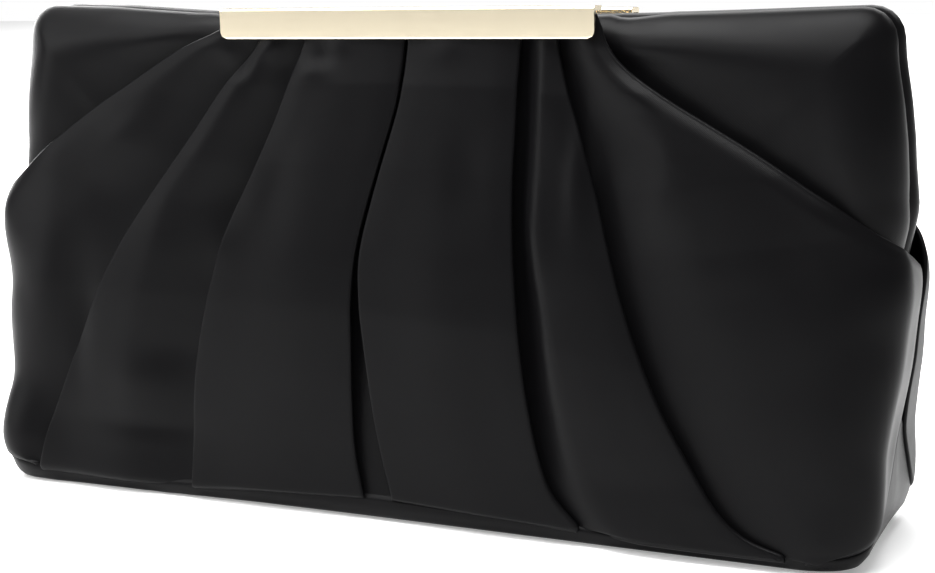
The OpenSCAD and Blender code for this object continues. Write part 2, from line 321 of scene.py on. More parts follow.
HALF, DEPTH, WIDE, DEEP = (soft_table(k) for k in (BODY_HALF, BODY_DEPTH, CORNER_WIDE, CORNER_DEEP))
# The rounding at the floor is tighter than the smoothing, so it is put back.
for curve, keys in ((HALF, BODY_HALF), (DEPTH, BODY_DEPTH)):
    low = curve[0] < 9
    mix = smooth((curve[0][low] - 3) / 6)
    curve[1][low] = mix * curve[1][low] + (1 - mix) * table(curve[0][low], keys)


def look(z, curve):
    """The value of a smoothed lookup at height z."""
    return np.interp(z, curve[0], curve[1])


def on_body(s, z):
    """The point of the body's front at s along its girth from the middle, and height z."""
    half, depth, wide, deep = (look(z, c) for c in (HALF, DEPTH, WIDE, DEEP))
    m = np.abs(s)
    flat = half - wide
    turn = np.clip((m - flat) / wide, 0, math.pi / 2)
    x = np.sign(s) * (np.minimum(m, flat) + wide * np.sin(turn))
    y = -(depth - deep) - deep * np.cos(turn) + np.maximum(0, m - flat - wide * math.pi / 2)
    return np.stack([x, y, z + 0 * x], axis=-1)


# Soft bumps and hollows of the cloth as (s, z, reach along s, reach along z, height).
FLARES = [(-134, 13, 14, 15, 5.6), (-142, 83, 12, 12, 4.3), (-140, 48, 14, 22, 2.0), (-100, 3, 34, 9, 1.2)]
BUMPS = [(-56, 131, 4, 3, 0.7), (-50, 127, 3, 5, -0.6), (-42, 133, 4, 3.2, 0.8), (-38, 128, 4, 5, -0.5),
         (-29, 126, 6, 3.2, 0.8), (-24, 131, 3.5, 3, -0.6), (-20, 134, 4, 3, 0.5), (14, 133, 5, 4, 0.4),
         (-58, 78, 7, 9, 0.9), (-80, 33, 11, 7, 1.0), (-84, 21, 14, 4, -0.8), (-75, 45, 9, 6, -0.5),
         (-108, 52, 5, 18, -1.2), (-120, 58, 7, 20, 1.0), (-104, 92, 12, 8, -0.8), (-92, 108, 9, 6, 0.5),
         (-28, 60, 12, 24, 0.6), (-38, 95, 7, 16, -0.5), (18, 66, 11, 26, 0.7), (22, 100, 6, 20, -0.4),
         (43, 85, 4.5, 11, 1.0), (44, 62, 5, 12, -0.5), (55, 99, 3, 16, 1.1), (77, 91, 8, 8, 1.1),
         (70, 108, 7, 8, -0.9), (96, 62, 22, 20, 0.6), (64, 40, 10, 14, 0.6), (66, 18, 12, 6, -0.6),
         (122, 30, 14, 16, 0.9), (118, 78, 14, 10, -0.7), (150, 30, 10, 14, -0.5)]


def bumps(s, z, shapes=BUMPS):
    """Height that soft bumps add at a place."""
    total = np.zeros(np.broadcast(s, z).shape)
    for at_s, at_z, reach_s, reach_z, height in shapes:
        total += height * np.exp(-((s - at_s) / reach_s) ** 2 - ((z - at_z) / reach_z) ** 2)
    return total


def lifted(s, z, h):
    """Points at height h above the body."""
    e = 0.4
    along = on_body(s + e, z) - on_body(s - e, z)
    rise = on_body(s, z + e) - on_body(s, z - e)
    normal = np.cross(along, rise)
    normal /= np.linalg.norm(normal, axis=-1, keepdims=True)
    return on_body(s, z) + normal * np.asarray(h)[..., None]


# ---------------------------------------------------------------- the pleated drapes
# Fold lines as (s, z), from the bar down. The outer two go on down the side seams to the base.
LEFT_EDGE = [(-57.5, 140.5), (-61, 138.2), (-75, 132.3), (-92, 122.5), (-104, 115.5), (-119, 105.5),
             (-128, 99), (-137, 92.5), (-145, 87), (-151, 81), (-153.5, 73), (-154, 62), (-154, 46),
             (-153, 34), (-150, 23), (-145, 14), (-138, 9), (-131, 6.5), (-124, 5)]
LEFT_OUTER = [(-45, 140.5), (-47, 134), (-58, 121), (-69.5, 105), (-81, 90), (-94.5, 70), (-105.5, 48.5),
              (-113.5, 30), (-119, 16), (-121.5, 5)]
LEFT_INNER = [(-31, 140.5), (-31, 136), (-34, 127), (-39, 114), (-45, 100), (-52, 85), (-57, 71), (-61, 57),
              (-64, 43), (-65.5, 30), (-66.5, 16), (-67, 4.5)]
MIDDLE_LEFT = [(1, 140.5), (1, 132), (0, 120), (-3.5, 106), (-8, 90), (-11, 76), (-12, 64), (-12, 50),
               (-12, 34), (-11.5, 20), (-9, 7)]
MIDDLE_RIGHT = [(1.8, 140.5), (1.8, 132), (0.8, 120), (-2.7, 106), (-7, 90), (-9.8, 76), (-9.7, 64),
                (-8, 49), (-5.5, 31), (-3, 18), (0, 7)]
RIGHT_INNER = [(36, 140.5), (36, 120), (36, 96), (37, 80), (38.5, 65), (40, 52), (42, 39), (45, 25),
               (49, 14), (57, 5.4)]
RIGHT_OUTER = [(47, 140.5), (47, 134), (50, 123), (55, 110), (60, 95), (64, 81), (69, 66), (75, 51),
               (81, 38), (88, 26), (95, 15), (103, 8), (114, 4.2)]
RIGHT_EDGE = [(57.5, 142.5), (59, 139), (61, 134), (67, 127.5), (78.5, 120), (92, 112.5), (106, 104.5),
              (119, 96.5), (132, 88.5), (141, 84.5), (149, 82), (160, 78), (167, 74), (168, 64), (168, 50),
              (167, 40), (163, 30), (156, 20.5), (148, 13.5), (139, 8), (130, 5.2), (121, 4.2)]
# The lower seam of the front drape, as (s, z).
LOW_SEAM = [(-170, 4.5), (-124, 4.5), (-85, 4.2), (-50, 5.6), (-10, 7), (34, 6.2), (74, 4.6), (121, 4.2),
            (170, 4.2)]

FLOOR_GAP = 0.15      # least height of the cloth above the floor
ROWS = 170
BEND = 0.25           # half width of the hidden bend, from a fold's underside down to the next gore
VALLEY = 25           # width over which the cloth sinks before it passes under a fold
SINK = 3.4            # how much lower it ends there than the fold needs
LEAST = 0.6           # least height of that hidden start of a gore
FALL_REACH = 7        # width over which the cloth rounds down to its own fold
EVEN_OUT = 0.064      # how far a gore's columns are drawn towards its two sides
EASE = 6              # passes that even out a fold line's sideways direction
DROP = np.linspace(0, 1, ROWS)
# Share of its full fall that a fold has on its way down.
FALL_DOWN = [(0, 0.2), (0.04, 0.8), (0.1, 1), (0.35, 1), (0.5, 0.6), (1, 0.3)]


class Line:
    """A fold line from the bar down. side is the way its nose points: -1 is left and 1 is right. height
    says how high its top stands, fall how far the cloth rounds down to the nose, and tuck how deep it is
    folded under."""

    def __init__(self, points, side, height, nose, fall, tuck):
        self.at = spline(points, DROP)
        self.side = side
        run = np.gradient(self.at, axis=0)
        across = np.stack([-run[:, 1], run[:, 0]], axis=-1)
        across /= np.linalg.norm(across, axis=-1, keepdims=True)
        for _ in range(EASE):
            across[1:-1] = (across[:-2] + across[1:-1] + across[2:]) / 3
        self.out = across if np.mean(across[:20, 0]) * side > 0 else -across
        self.height = table(DROP, height)
        self.nose = np.full(ROWS, nose)
        self.fall = table(DROP, FALL_DOWN) * fall
        self.tuck = table(DROP, tuck)

    def station(self, offset, height):
        """A column of the cloth beside the line: (places, heights)."""
        offset = np.broadcast_to(offset, ROWS)
        return self.at + self.out * offset[:, None], np.broadcast_to(height, ROWS) + 0.0

    def top(self):
        """Height of the nose, where the cloth has rounded down to it."""
        return self.height - self.fall

    def low(self):
        """Height at which the next gore starts, under the nose."""
        return np.maximum(self.top() - 2 * self.nose - 2 * BEND - SINK, LEAST)

    def roll(self, bend=True):
        """Columns from the top layer round the nose, back under it and, with bend, down to the next gore."""
        columns = []
        for a in np.radians(np.linspace(90, -90, 9)):
            offset = self.nose * (math.cos(a) - 1)
            columns.append(self.station(offset, self.top() + self.nose * (math.sin(a) - 1)))
        under = self.top() - 2 * self.nose
        for t in (0.35, 0.7, 1.0):
            columns.append(self.station(-self.nose + t * (self.nose - self.tuck), under))
        if bend:
            drop = (under - self.low()) / 2
            for a in np.radians((130, 180, 230)):
                offset = -self.tuck + BEND * math.cos(a)
                columns.append(self.station(offset, under - drop + drop * math.sin(a)))
        return columns


def gore(a, b, count, crown, valley=VALLEY):
    """Columns between two lines. A line whose nose points away from the gore is met at its top. The other is
    passed under. crown is how far the cloth stands above the straight way, and valley the width over which it
    sinks towards the line that it passes under."""
    top_a, top_b = a.side < 0, b.side > 0
    start, h_a = a.station(-a.nose if top_a else -a.tuck, a.height if top_a else a.low())
    end, h_b = b.station(-b.nose if top_b else -b.tuck, b.height if top_b else b.low())
    wide = np.linalg.norm(end - start, axis=-1)
    columns = []
    for t in np.linspace(0, 1, count + 2)[1:-1]:
        t -= EVEN_OUT * math.sin(2 * math.pi * t)
        if top_a and top_b:
            seen, h = np.full(ROWS, t), h_a + (h_b - h_a) * t
            h = h - a.fall * np.clip(1 - t * wide / FALL_REACH, 0, 1) ** 2
            h = h - b.fall * np.clip(1 - (1 - t) * wide / FALL_REACH, 0, 1) ** 2
        else:
            hidden, way = (b.tuck, 1 - t) if top_a else (a.tuck, t)
            low, high = (h_b, h_a) if top_a else (h_a, h_b)
            hidden = np.clip(hidden / wide, 0, 0.8)
            seen = np.clip((way - hidden) / (1 - hidden), 0, 1)
            shown = wide * (1 - hidden)
            h = low + (high - low) * smooth(seen / np.clip(valley / shown, 0.3, 0.85))
            own = a if top_a else b
            h = h - own.fall * np.clip(1 - (1 - seen) * shown / FALL_REACH, 0, 1) ** 2
        bulge = crown * np.clip(wide / 35, 0.2, 1.4) * np.sin(math.pi * seen) ** 2
        columns.append((start + (end - start) * t, h + bulge))
    return columns


def hidden_layer(a, b, count):
    """The layer that joins the two facing folds in the middle."""
    start, h_a = a.station(-a.tuck, a.low())
    end, h_b = b.station(-b.tuck, b.low())
    return [(start + (end - start) * t, h_a + (h_b - h_a) * t) for t in np.linspace(0, 1, count + 2)[1:-1]]


def back_edge_drop(s, z):
    """How much lower the back drape's edge runs near its left corner."""
    return 6 * float(smooth((-s - 112) / 25) * smooth((z - 40) / 30))


def drape_points(back):
    """The pleated cloth of one face as (rows, columns, 3) in millimetres. The front one flares a little at
    its left end."""
    rise = [(0, 3.4), (0.04, 4.0), (0.13, 5.8), (0.3, 6.6), (0.6, 6.4), (0.86, 4.6), (1, 2.9)]
    edge = [(0, 3.0), (0.06, 3.8), (0.3, 3.8), (0.42, 2.9), (0.5, 2.6), (1, 2.4)]
    wide_edge = [(0, 3.0), (0.05, 4.6), (0.12, 5.6), (0.3, 5.2), (0.42, 3.2), (0.5, 2.6), (1, 2.4)]
    tuck = [(0, 4), (0.1, 5), (0.3, 8), (1, 8)]
    left_points = LEFT_EDGE
    if back:
        left_points = [(s, z - back_edge_drop(s, z)) for s, z in LEFT_EDGE]
    # Each fold: its line, the way its nose points, its height, the nose's radius and its fall.
    plan = [(left_points, -1, edge, 0.7, 0.5),
            (LEFT_OUTER, -1, rise, 0.7, 0.5),
            (LEFT_INNER, -1, rise, 0.7, 0.5),
            (MIDDLE_LEFT, 1, rise, 0.8, 0.5),
            (MIDDLE_RIGHT, -1, rise, 0.8, 0.4),
            (RIGHT_INNER, 1, rise, 0.9, 0.7),
            (RIGHT_OUTER, 1, rise, 0.9, 1.0),
            (RIGHT_EDGE, 1, wide_edge, 0.8, 1.5)]
    left, left_2, left_3, middle, middle_2, right_3, right_2, right = [Line(*p, tuck) for p in plan]
    columns = left.roll(bend=False)[::-1] + gore(left, left_2, 34, 0.5)
    columns += left_2.roll()[::-1] + gore(left_2, left_3, 30, 0.5)
    columns += left_3.roll()[::-1] + gore(left_3, middle, 34, 0.5)
    columns += middle.roll() + hidden_layer(middle, middle_2, 8)
    columns += middle_2.roll()[::-1] + gore(middle_2, right_3, 34, 0.5)
    columns += right_3.roll() + gore(right_3, right_2, 26, 0.5, valley=8)
    columns += right_2.roll() + gore(right_2, right, 44, 0.9) + right.roll(bend=False)
    place = np.stack([c[0] for c in columns], axis=1)
    height = np.stack([c[1] for c in columns], axis=1)
    s, z = place[..., 0], place[..., 1]
    z = np.maximum(z, table(s, LOW_SEAM) - 0.6)
    roll = np.radians(np.linspace(18, 90, 5))[:, None]
    s = np.concatenate([s, np.repeat(s[-1:], 5, axis=0)])
    z = np.concatenate([z, z[-1:] - 1.3 * np.sin(roll)])
    height = np.concatenate([height, height[-1:] * np.cos(roll)])
    points = lifted(s, z, height + bumps(s, z, BUMPS if back else BUMPS + FLARES))
    points[..., 2] = np.maximum(points[..., 2], FLOOR_GAP)
    return turned(points) if back else points


def make_drape(name, back):
    """The pleated cloth of one face."""
    points = drape_points(back)
    return new_piece(name, points, grid_faces(*points.shape[:2]), SATIN)


# ---------------------------------------------------------------- the padded covers
PAD_HALF = [(0, 128), (12, 133), (72, 136), (90, 139.8), (100, 140.0), (110, 139.4), (120, 138.2),
            (129, 136.6), (143, 135.6)]
PAD_DEPTH = [(0, 26.5), (20, 27.2), (74, 23.4), (90, 20.6), (110, 17.2), (128, 14.3), (136, 12.9),
             (143, 12.0)]
PAD_CORNER = 9        # radius of the outline's corners
PAD_LOW = 7           # height of its lower edge
INSET = 8.2           # rings up to here keep the outline's shape; further in they shrink to the spine
SPINE = 72.5          # distance in from the outline at which a ring has become the spine
SPINE_HALF, SPINE_Z = 66, 76.0     # the spine's half length and its height
PAD_THICK = 5
RIM = 0.35            # how far the rim stays from the middle plane
PRESS = 3.6           # how far the drape presses the padding in
PAD_POINTS = 300      # points round a pad's outline
# The inner face's rings, as (distance in, share of the way from the rim's plane to the inner face's).
INNER_RINGS = ((6.0, 0.0), (6.8, 0.1), (7.4, 0.5), (8.2, 0.9), (9.5, 1), (18, 1), (36, 1), (54, 1),
               (SPINE, 1))
# Lift of the top edge against x.
TOP_LIFT = [(-135, 4.4), (-105, 4.0), (-70, 2.2), (-56, -0.4), (56, -0.6), (75, 1.2), (135, 2.0)]

# The short cloth simulation that puffs the pads, and how far it may move them.
SIM_FRAMES = 20
SIM_QUALITY = 5
SIM_MASS = 0.3
SIM_PRESSURE = 4
SIM_EASE = 12         # passes that even out the movement
PUFF_UNDER = 0.6      # most movement under the drape
PUFF_MORE = 1.6       # and how much more is let happen in the open corners
CLEAR = 0.3           # least distance from the middle plane afterwards

FRAME_POINTS = 600    # points round the outline that the frame strip follows
FRAME_START = 4       # height above the hinge at which it starts
# The strip's section, as (distance in from the outline, y).
FRAME_SECTION = [(2.7, -2.5), (2.9, -2.3), (3.9, -2.3), (4.1, -2.5), (4.1, -5.8), (3.9, -6.0), (2.9, -6.0),
                 (2.7, -5.8)]


def drape_edge(x):
    """Height of the drape's upper edge over the padded face."""
    right = table(x, RIGHT_EDGE[:11])
    left = table(-x, [(-s, z) for s, z in LEFT_EDGE[:10]])
    return np.where(x > 0, right, left)


def pad_depth(x, z):
    """Depth of the padded face: pressed in under the drape and full in the open corners."""
    outside = smooth(((z - drape_edge(x)) * 0.8 + 4) / 28)
    return table(z, PAD_DEPTH) - PRESS * (1 - outside) * smooth((139 - z) / 12)


def pad_outline(count):
    """The pad's outline in X and Z, from the middle of its lower edge round to the same place."""
    r = PAD_CORNER
    corner_x = table(TOP_Z - r, PAD_HALF) - r
    low_x = table(PAD_LOW + r, PAD_HALF) - r
    half = [(0, PAD_LOW)]
    for a in np.linspace(0, math.pi / 2, 10)[:-1]:
        half.append((low_x + r * math.sin(a), PAD_LOW + r - r * math.cos(a)))
    half += [(table(z, PAD_HALF), z) for z in np.linspace(PAD_LOW + r, TOP_Z - r, 40)]
    for a in np.linspace(0, math.pi / 2, 14)[1:]:
        half.append((corner_x + r * math.cos(a), TOP_Z - r + r * math.sin(a)))
    half += [(x, TOP_Z) for x in np.linspace(corner_x, 0, 20)[1:]]
    loop = np.array(half + [(-x, z) for x, z in half[-2:0:-1]] + [(0, PAD_LOW)])
    along = np.concatenate([[0], np.cumsum(np.linalg.norm(np.diff(loop, axis=0), axis=1))])
    at = np.linspace(0, along[-1], count, endpoint=False)
    return np.stack([np.interp(at, along, loop[:, k]) for k in range(2)], axis=-1)


class PadShape:
    """Rings round the pad's outline. They run from the middle of its outer face over the rounded edge and
    back to the middle of its inner face. The lower edge has only the pad's own thickness."""

    def __init__(self, count=PAD_POINTS):
        self.outline = pad_outline(count)
        run = np.roll(self.outline, -1, axis=0) - np.roll(self.outline, 1, axis=0)
        inward = np.stack([-run[:, 1], run[:, 0]], axis=-1)
        self.inward = inward / np.linalg.norm(inward, axis=-1, keepdims=True)
        x, z = self.outline[:, 0], self.outline[:, 1]
        self.spine = np.stack([np.clip(x, -SPINE_HALF, SPINE_HALF), np.full(count, SPINE_Z)], axis=-1)
        # low is 1 along the lower edge. The rest is the rim's plane, the edge's middle and its two roundings.
        self.low = smooth((30 - z) / 16)
        depth = pad_depth(x, z)
        self.rim = RIM + (depth - PAD_THICK - 0.2 - RIM) * self.low
        self.middle = 5 + (depth - PAD_THICK / 2 - 5) * self.low
        self.edge_out = 15 - 12.4 * self.low
        self.edge_in = 5.5 - 3.1 * self.low

    def ring(self, d, y_of):
        """A ring d in from the outline, with y_of giving its y from the pad's depth there."""
        d = np.broadcast_to(d, len(self.outline))
        p = self.outline + self.inward * np.minimum(d, INSET)[:, None]
        p = p + (self.spine - p) * (np.maximum(d - INSET, 0) / (SPINE - INSET))[:, None]
        return np.stack([p[:, 0], y_of(pad_depth(p[:, 0], p[:, 1])), p[:, 1]], axis=-1)

    def shell(self):
        """All rings, from the outer face's middle to the inner face's."""
        rings = [self.ring(d, lambda depth: -depth) for d in (SPINE, 60, 48, 36, 26, 18)]
        for a in np.radians(np.linspace(90, 0, 11)):
            rings.append(self.ring(self.edge_out * (1 - math.cos(a)),
                                   lambda depth: -(self.middle + (depth - self.middle) * math.sin(a))))
        for a in np.radians(np.linspace(15, 90, 6)):
            y = -(self.middle - (self.middle - self.rim) * math.sin(a))
            rings.append(self.ring(self.edge_in * (1 - math.cos(a)), lambda depth: y))
        rings += self.inner(INNER_RINGS, 0)
        return np.stack(rings, axis=0)

    def inner(self, stations, gap):
        """Rings of the inner face, gap away from it."""
        return [self.ring(d, lambda depth: gap * k - (self.rim + (depth - PAD_THICK - self.rim) * k))
                for d, k in stations]


def settle_top(points, back):
    """Turns the points for the back, and lets the top edge dip by the bar and rise at the purse's left
    end."""
    if back:
        points = turned(points)
    points[..., 2] += table(points[..., 0], TOP_LIFT) * smooth((points[..., 2] - 105) / 36)
    return points


def make_pad(name, back):
    """The padded satin cover of one half."""
    points = settle_top(PadShape().shell(), back)
    faces = flipped(grid_faces(*points.shape[:2], closed=True))
    pad = new_piece(name, points, faces, SATIN, weld=True)
    swell(pad, 1 if back else -1)
    return pad


def make_frame(name, back):
    """The steel strip inside the padded rim, from just above one hinge over the top to the other."""
    shape = PadShape(FRAME_POINTS)
    high = np.where(shape.outline[:, 1] > HINGE_Z + FRAME_START)[0]
    points = np.stack([shape.ring(d, lambda depth: y + 0 * depth)[high] for d, y in FRAME_SECTION], axis=1)
    ends = [points[k].mean(axis=0, keepdims=True) + 0 * points[k] for k in (0, -1)]
    points = settle_top(np.concatenate([ends[:1], points, ends[1:]]), back)
    return new_piece(name, points, grid_faces(*points.shape[:2], closed=True), STEEL, weld=True)


def swell(pad, way):
    """Puffs the pad with a short cloth simulation and keeps the result, capped, in its mesh. way is the side
    of the middle plane that the pad stays on."""
    count = len(pad.data.vertices)
    before, after = np.zeros(count * 3), np.zeros(count * 3)
    pad.data.vertices.foreach_get("co", before)
    cloth = pad.modifiers.new("cloth", "CLOTH")
    cloth.settings.quality = SIM_QUALITY
    cloth.settings.mass = SIM_MASS
    cloth.settings.use_pressure = True
    cloth.settings.uniform_pressure_force = SIM_PRESSURE
    cloth.settings.effector_weights.gravity = 0
    cloth.point_cache.frame_start, cloth.point_cache.frame_end = 1, SIM_FRAMES
    for number in range(1, SIM_FRAMES + 1):
        scene.frame_set(number)
    puffed = pad.evaluated_get(bpy.context.evaluated_depsgraph_get())
    puffed.data.vertices.foreach_get("co", after)
    pad.modifiers.remove(cloth)
    scene.frame_set(1)
    before, after = before.reshape(-1, 3), after.reshape(-1, 3)
    ties = np.zeros(len(pad.data.edges) * 2, int)
    pad.data.edges.foreach_get("vertices", ties)
    a, b = ties.reshape(-1, 2).T
    move = after - before
    for _ in range(SIM_EASE):
        total, near = move.copy(), np.ones((count, 1))
        for one, other in ((a, b), (b, a)):
            np.add.at(total, one, move[other])
            np.add.at(near, one, 1)
        move = total / near
    length = np.linalg.norm(move, axis=1, keepdims=True) + 1e-9
    x, z = before[:, 0] / MM * -way, before[:, 2] / MM
    cap = (PUFF_UNDER + PUFF_MORE * smooth((z - drape_edge(x)) / 14))[:, None] * MM
    moved = before + move / length * cap * np.tanh(length / cap)
    moved[:, 1] = way * np.maximum(moved[:, 1] * way, CLEAR * MM)
    pad.data.vertices.foreach_set("co", moved.ravel())
    pad.data.update()


# ---------------------------------------------------------------- the lining, the gussets and the pocket
LINING_GAP = 0.8      # how far a lining stands off the pad's inner face
LINING_RINGS = ((6.9, 0.1), (7.5, 0.5), (8.4, 0.9), (9.8, 1), (14, 1), (20, 1), (28, 1), (36, 1), (46, 1),
                (56, 1), (66, 1), (SPINE, 1))


def make_lining(name, back):
    """The cloth that covers a pad's inner face, with slight ripples."""
    points = np.stack(PadShape().inner(LINING_RINGS, LINING_GAP), axis=0)
    x, z = points[..., 0], points[..., 2]
    points[..., 1] += 0.25 * np.sin(x / 9 + z / 17) * np.sin(z / 13) * np.linspace(0, 1, len(points))[:, None]
    points = settle_top(points, back)
    faces = flipped(grid_faces(*points.shape[:2], closed=True))
    return new_piece(name, points, faces, LINING, weld=True)


def make_side_lining(name, side):
    """The gusset's lining: a shallow trough from the front lining to the back one."""
    y, z = np.meshgrid(np.linspace(-19.5, 19.5, 41), np.linspace(6.5, 75, 60))
    squeeze = 1 - 0.30 * smooth((z - 20) / 70)
    x = 126.0 - 2.4 * (y / 19.5) ** 2 + 0.3 * np.sin(z / 6.5) * np.cos(y / 7) - 1.0 * smooth((16 - z) / 10)
    points = np.stack([side * x, y * squeeze, z], axis=-1)
    faces = grid_faces(*points.shape[:2])
    return new_piece(name, points, faces if side < 0 else flipped(faces), LINING)


def make_bellows_leaf(name, side, way):
    """One leaf of the folded gusset in the mouth, from a half's rim (outer) to the shared crease (inner)."""
    t, up = np.meshgrid(np.linspace(0, 1, 30), np.linspace(0, 1, 50))
    top = 124.5 - 13 * smooth(t)
    z = 72.5 + (top - 72.5) * up
    x = 129 - 25 * t * (0.25 + 0.75 * smooth(up / 0.5))
    depth = 0.25 + (1.0 + 2.6 * np.sin(math.pi * t) ** 0.8) * (1 - t) ** 0.3 * (0.6 + 0.4 * np.sin(z / 9))
    points = np.stack([side * x, way * depth, z], axis=-1)
    faces = grid_faces(*points.shape[:2])
    return new_piece(name, points, faces if side * way > 0 else flipped(faces), LINING)


def make_base_lining():
    """A tray of cloth on the board, with its edges turned up against the linings."""
    u, v = np.meshgrid(np.linspace(-1, 1, 141), np.linspace(-1, 1, 41))
    z = 5.6 + 5.5 * np.abs(v) ** 8 + 6.5 * np.abs(u) ** 30 + 0.25 * np.sin(u * 19) * np.cos(v * 4)
    points = np.stack([126 * u, 20.3 * v, z], axis=-1)
    return new_piece("base_lining_cloth", points, grid_faces(*points.shape[:2]), LINING)


POCKET_LOW, POCKET_HIGH = box_mm("slip_pocket")


HEM_ROUND = 0.45      # radius of the pocket's turned hem, and its gap to the lining
THREAD_RADIUS = 0.17


def back_lining_y(x, z):
    """Where the back lining's inner face lies."""
    return pad_depth(-x, z) - PAD_THICK - LINING_GAP


def make_pocket():
    """The slip pocket on the back lining, with a turned hem along its open top."""
    x0, x1 = POCKET_LOW[0], POCKET_HIGH[0]
    z0, z1 = POCKET_LOW[2] + 2, POCKET_HIGH[2]
    across = np.concatenate([[-1, -0.995], np.linspace(-0.98, 0.98, 81), [0.995, 1]])
    up = np.concatenate([[0, 0.01, 0.03], np.linspace(0.06, 1, 60)])
    u, v = np.meshgrid(across, up)
    x = (x0 + x1) / 2 + (x1 - x0) / 2 * u
    z = z0 + (z1 - z0) * v - 1.2 * np.sin(math.pi * (u + 1) / 2) ** 2 * smooth((v - 0.6) / 0.4)
    room = np.clip((1 - np.abs(u)) * 12, 0, 1) ** 0.6 * np.clip(v * 9, 0, 1) ** 0.6
    belly = room * (0.7 + 2.0 * np.sin(math.pi * (u + 1) / 2) ** 2 * smooth(v / 1.0))
    hem = 0.5 * smooth((z - (z1 - 7.4)) / 0.8)
    y = back_lining_y(x, z) - HEM_ROUND - belly - hem
    front = np.stack([x, y, z], axis=-1)
    lip = []
    for a in np.radians((30, 90, 150, 180)):
        step = front[-1].copy()
        step[:, 1] += HEM_ROUND - HEM_ROUND * math.cos(a)
        step[:, 2] += HEM_ROUND * math.sin(a)
        lip.append(step)
    for down in (2.0, 4.5, 7.0):
        step = lip[3].copy()
        step[:, 2] -= down
        lip.append(step)
    points = np.concatenate([front, np.array(lip)])
    return new_piece("pocket_cloth", points, flipped(grid_faces(*points.shape[:2])), LINING)


def stitches(name, path, away, pitch, material):
    """A row of raised stitches along a path, each a small rounded grain of thread. away points off the
    cloth."""
    path = np.array(path, float)
    along = np.concatenate([[0], np.cumsum(np.linalg.norm(np.diff(path, axis=0), axis=1))])
    count = int(along[-1] / pitch)
    points, faces = [], []
    for n in range(count):
        ends = np.array([[np.interp(d, along, path[:, k]) for k in range(3)]
                         for d in ((n + 0.18) * pitch, (n + 0.82) * pitch)])
        middle, half = ends.mean(axis=0), (ends[1] - ends[0]) / 2
        side = np.cross(half, away)
        side /= np.linalg.norm(side)
        off = np.array(away, float)
        first = len(points)
        rings = ((-1.0, 0.04), (-0.7, 0.75), (0, 1.0), (0.7, 0.75), (1.0, 0.04))
        for t, fat in rings:
            for a in np.radians(np.arange(0, 360, 60)):
                aside = side * math.cos(a) + off * math.sin(a)
                points.append(middle + half * t + aside * THREAD_RADIUS * fat)
        faces += grid_faces(len(rings), 6, closed=True, start=first)
    return new_piece(name, points, faces, material)


def pocket_path(inset):
    """The way of the pocket's stitching: down one side, along the bottom and up the other."""
    x0, x1 = POCKET_LOW[0] + inset, POCKET_HIGH[0] - inset
    z0, z1 = POCKET_LOW[2] + 2 + inset, POCKET_HIGH[2] - 2
    corners = [(x0, z) for z in np.linspace(z1, z0, 16)]
    corners += [(x, z0) for x in np.linspace(x0, x1, 40)]
    corners += [(x1, z) for z in np.linspace(z0, z1, 16)]
    return [(x, back_lining_y(x, z) - 0.75, z) for x, z in corners]


# ---------------------------------------------------------------- the underside
def half_girth(z):
    """Length along the body from the middle of the front to the middle of the side."""
    half, depth, wide, deep = (look(z, c) for c in (HALF, DEPTH, WIDE, DEEP))
    return half - wide + wide * math.pi / 2 + depth - deep


def round_body(g, z, h):
    """A point on the whole body: g is 0 at the middle of the front, 1 at the right side and 2 at the back."""
    g = (np.asarray(g) + 1) % 4 - 1
    back = g > 1
    s = np.where(back, g - 2, g) * half_girth(z)
    flare = np.where(back, 0, bumps(s, z, FLARES))
    p = lifted(s, z, h + bumps(s, z) + flare)
    p[..., 2] = np.maximum(p[..., 2], FLOOR_GAP)
    return np.where(back[..., None], turned(p), p)


def base_seam(g):
    """Height of the seam between the drapes and the underside, round the body."""
    keys = [(s / half_girth(z), z) for s, z in LOW_SEAM[1:-1]]
    right = [(s / half_girth(z), z) for s, z in RIGHT_EDGE[-7:]][::-1]
    left = [(s / half_girth(z), z) for s, z in LEFT_EDGE[-7:]]
    keys = left[1:] + keys[1:-1] + right[1:]
    keys = keys + [(k + 2, z) for k, z in keys]
    g = (np.asarray(g) + 1) % 4 - 1
    return np.interp(g, [k[0] for k in keys], [k[1] for k in keys], period=4)


def make_underside():
    """The satin under the base: up behind the drapes' lower seam, round the edge and across the middle."""
    columns = 480
    g = np.linspace(-1, 3, columns, endpoint=False)
    top = base_seam(g)
    for _ in range(8):
        top = (np.roll(top, 1) + top + np.roll(top, -1)) / 3
    rings = []
    for up, h in ((0.8, 0.0), (0.2, 0.7), (-0.4, 1.2), (-1.0, 1.5)):
        rings.append(round_body(g, top + up, np.full(columns, h)))
    start = top - 1.0
    for t in np.linspace(0, 1, 16)[1:]:
        z = start * (1 - t) ** 1.5
        rings.append(round_body(g, z, 1.5 - 1.2 * t + 0 * g))
    last = rings[-1]
    for t in (0.03, 0.08, 0.16, 0.3, 0.45, 0.6, 0.8, 1.0):
        inner = last * np.array([1 - 0.98 * t, 1 - 0.98 * t, 1])
        inner[:, 2] = 0.25 + 0.9 * math.sin(math.pi / 2 * t) ** 2
        rings.append(inner)
    points = np.stack(rings, axis=0)
    rows = len(rings)
    faces = flipped(grid_faces(rows, columns, closed=True))
    faces.append(tuple(range((rows - 1) * columns, rows * columns)))
    return new_piece("underside", points, faces, SATIN)


def make_side_seam(name, side):
    """The strip of cloth that lies under the meeting edges of the two drapes."""
    across, z = np.meshgrid(np.linspace(1, 14, 15), np.linspace(9, 75, 90))
    g = 1 + across / half_girth(z)
    points = round_body(g, z, 0.45 + 0.15 * np.sin(z / 3.1))
    if side < 0:
        points = turned(points)
    return new_piece(name, points, grid_faces(*points.shape[:2]), SATIN)


# ---------------------------------------------------------------- the bars
BAR_ROUND = 2         # radius of the lower corners at a bar's two ends


